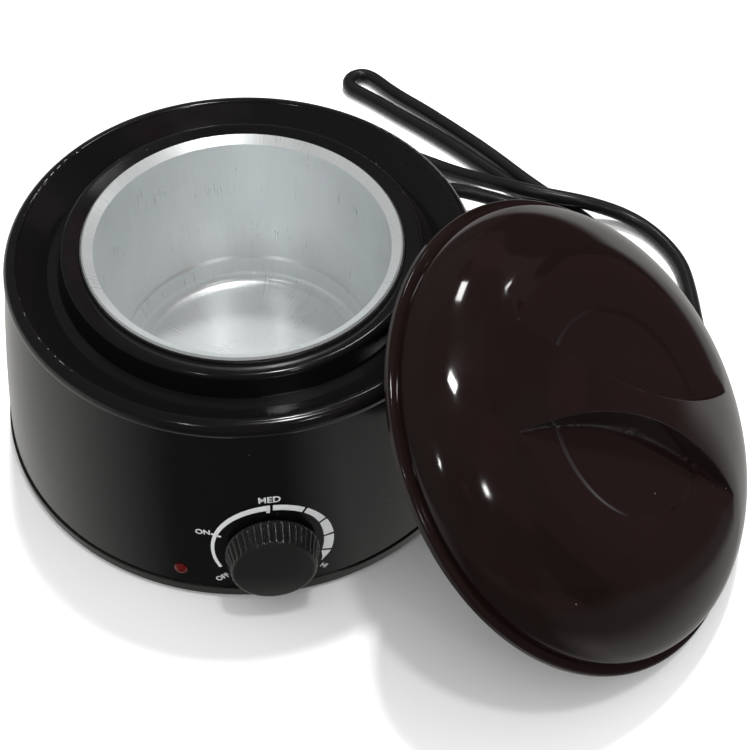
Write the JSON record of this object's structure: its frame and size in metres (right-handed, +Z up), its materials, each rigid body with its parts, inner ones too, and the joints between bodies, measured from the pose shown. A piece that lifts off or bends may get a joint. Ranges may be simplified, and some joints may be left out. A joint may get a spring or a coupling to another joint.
{
  "type": "wax warmer",
  "caption": "Round table-top wax warmer with a lift-out pot, a heat dial, an indicator lamp, a mains lead and a loose domed lid leaning on its side.",
  "frame": {"origin": "on the vertical axis of the round housing, in the plane of the base plate underside, one millimetre above the table the rubber feet stand on", "axes": "+Z up along the axis of the housing and pot; the heat dial faces -Y; +X is to the right of a person who looks at the dial"},
  "size_m": [0.28, 0.335, 0.1053],
  "materials": {
    "shell_plastic": "glossy black moulding",
    "base_plastic": "satin black moulding",
    "foot_rubber": "matt black",
    "screw_steel": "zinc plated",
    "pot_aluminium": "bright satin, drawn",
    "well_aluminium": "plain drawn",
    "bracket_steel": "galvanised sheet",
    "heater_steel": "mica band in a steel jacket",
    "sleeve_fabric": "woven glass fibre",
    "knob_plastic": "glossy black with fine ribs",
    "shaft_brass": "turned",
    "thermostat_ceramic": "glazed ceramic switch body",
    "lens_red": "clear red lens",
    "lamp_plastic": "natural nylon holder",
    "block_plastic": "white nylon",
    "fuse_metal": "tinned case",
    "wire_brown": "insulated lead",
    "wire_blue": "insulated lead",
    "lid_plastic": "glossy smoked brown black",
    "cord_rubber": "satin black flex",
    "plug_plastic": "moulded black",
    "pin_metal": "nickelled brass"
  },
  "bodies": {
    "warmer": {"housing_shell": "shell_plastic", "base_plate": "base_plastic", "foot_left_front": "foot_rubber", "foot_right_front": "foot_rubber", "foot_right_rear": "foot_rubber", "foot_left_rear": "foot_rubber", "base_screws": "screw_steel", "heating_well": "well_aluminium", "well_ring": "bracket_steel", "ring_screws": "screw_steel", "heater_band": "heater_steel", "clamp_screw": "screw_steel", "heat_sleeve": "sleeve_fabric", "thermostat_body": "thermostat_ceramic", "thermostat_bracket": "bracket_steel", "thermostat_screws": "screw_steel", "indicator_lens": "lens_red", "indicator_lamp": "lamp_plastic", "terminal_block": "block_plastic", "thermal_fuse": "fuse_metal", "fuse_clip": "bracket_steel", "live_wire": "wire_brown", "lamp_wire": "wire_blue", "strain_relief": "cord_rubber", "power_cord": "cord_rubber", "cord_coil": "cord_rubber", "cord_tail": "cord_rubber", "plug_body": "plug_plastic", "plug_pins": "pin_metal"},
    "lid": {"lid": "lid_plastic"},
    "pot": {"wax_pot": "pot_aluminium"},
    "dial": {"dial_knob": "knob_plastic", "thermostat_shaft": "shaft_brass"}
  },
  "joints": [
    {"name": "lid_lift", "type": "slide", "parent": "warmer", "child": "lid", "axis": [0, 0, 1], "range_m": [0, 0.15]},
    {"name": "pot_lift", "type": "slide", "parent": "warmer", "child": "pot", "axis": [0, 0, 1], "range_m": [0, 0.1]},
    {"name": "dial_turn", "type": "hinge", "parent": "warmer", "child": "dial", "pos_m": [0, -0.08715, 0.0243], "axis": [0, -0.9909, 0.1349], "range_deg": [-128, 128]}
  ]
}
